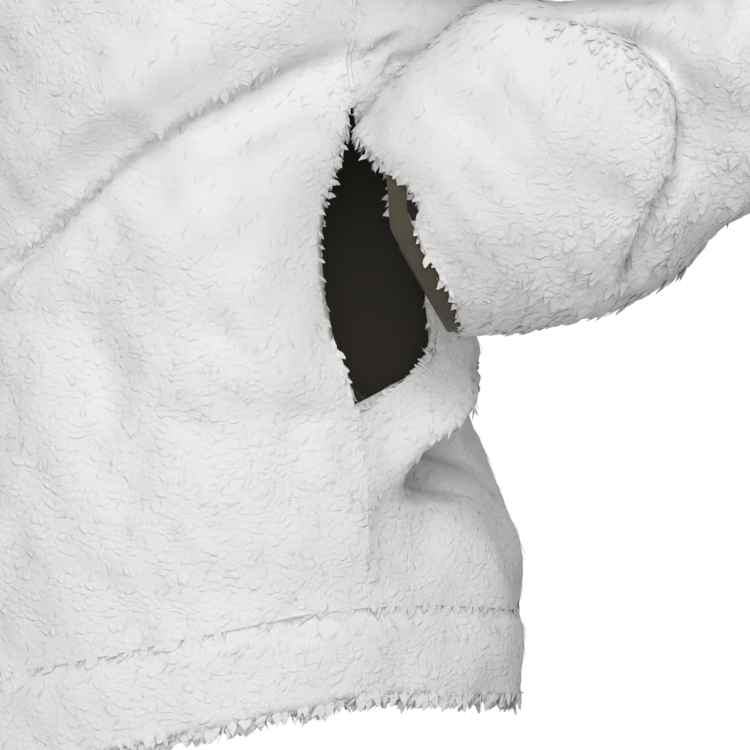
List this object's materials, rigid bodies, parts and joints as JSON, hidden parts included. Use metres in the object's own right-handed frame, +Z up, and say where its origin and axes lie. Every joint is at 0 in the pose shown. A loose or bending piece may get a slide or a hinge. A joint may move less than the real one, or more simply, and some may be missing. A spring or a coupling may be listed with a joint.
{
  "type": "sherpa fleece pullover, worn, left sleeve bent to its side pocket",
  "caption": "White deep-pile fleece pullover worn open at neck, hem and cuffs, with side-seam pockets, a folded hem band and elastic-bound cuffs, its left sleeve bent towards the pocket.",
  "frame": {"origin": "centre of the neck opening at the base of the neckband, where the neck holds the garment", "axes": "+X towards the wearer's left, -Y the way the wearer faces, +Z up"},
  "size_m": [0.8042, 0.3934, 0.7142],
  "materials": {
    "sherpa_fleece": "deep tufted pile",
    "olive_binding": "elastic knitted binding",
    "dark_pocketing": "plain woven pocketing"
  },
  "bodies": {
    "root": {"front_panel": "sherpa_fleece", "back_panel": "sherpa_fleece", "hem_band": "sherpa_fleece", "neckband": "sherpa_fleece", "left_sleeve": "sherpa_fleece", "right_sleeve": "sherpa_fleece", "left_cuff_binding": "olive_binding", "right_cuff_binding": "olive_binding", "left_pocket_bag": "dark_pocketing", "right_pocket_bag": "dark_pocketing"}
  },
  "joints": []
}
